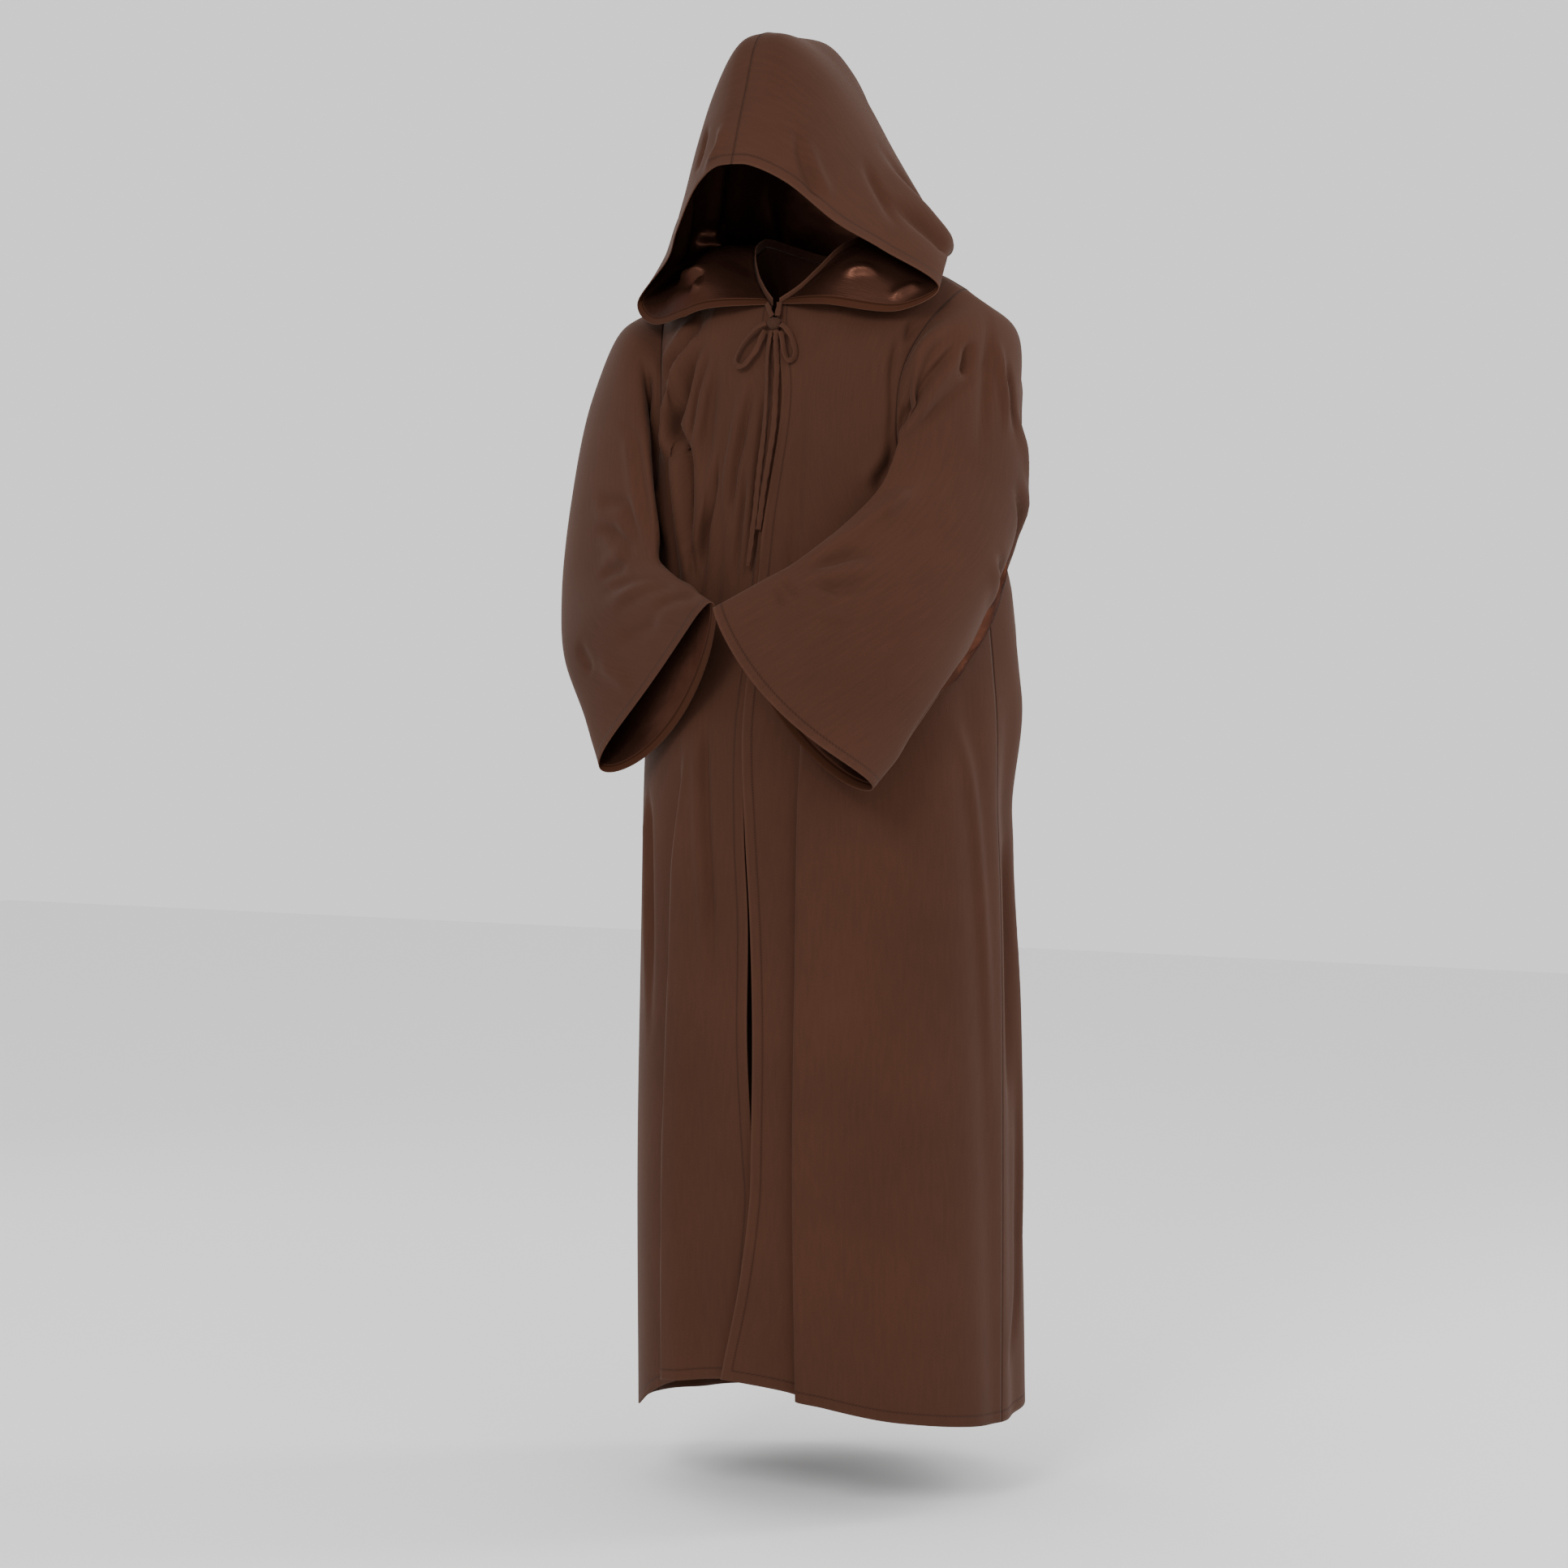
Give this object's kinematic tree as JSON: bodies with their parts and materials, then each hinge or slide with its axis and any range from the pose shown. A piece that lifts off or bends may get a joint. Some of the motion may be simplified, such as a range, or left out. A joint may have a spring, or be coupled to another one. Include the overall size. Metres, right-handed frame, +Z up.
{
  "type": "hooded robe",
  "caption": "Floor-length hooded cloak with wide bell sleeves, open down the front and tied with a bow at the neck, in its worn form.",
  "frame": {"origin": "middle of the wearer's shoulders, where the garment is carried, on the body's axis", "axes": "+Z up along the standing wearer, the open front faces -Y, the wearer's left side is +X"},
  "size_m": [0.6348, 0.6143, 1.7512],
  "materials": {
    "cloth": "matt dark brown crepe with a slight sheen"
  },
  "bodies": {
    "root": {"front_left": "cloth", "front_right": "cloth", "back_panel": "cloth", "sleeve_left": "cloth", "sleeve_right": "cloth", "hood_left": "cloth", "hood_right": "cloth", "neck_band": "cloth", "tie_knot": "cloth", "tie_root_left": "cloth", "tie_root_right": "cloth", "tie_loop_left": "cloth", "tie_loop_right": "cloth", "tie_end_left": "cloth", "tie_end_right": "cloth"}
  },
  "joints": []
}
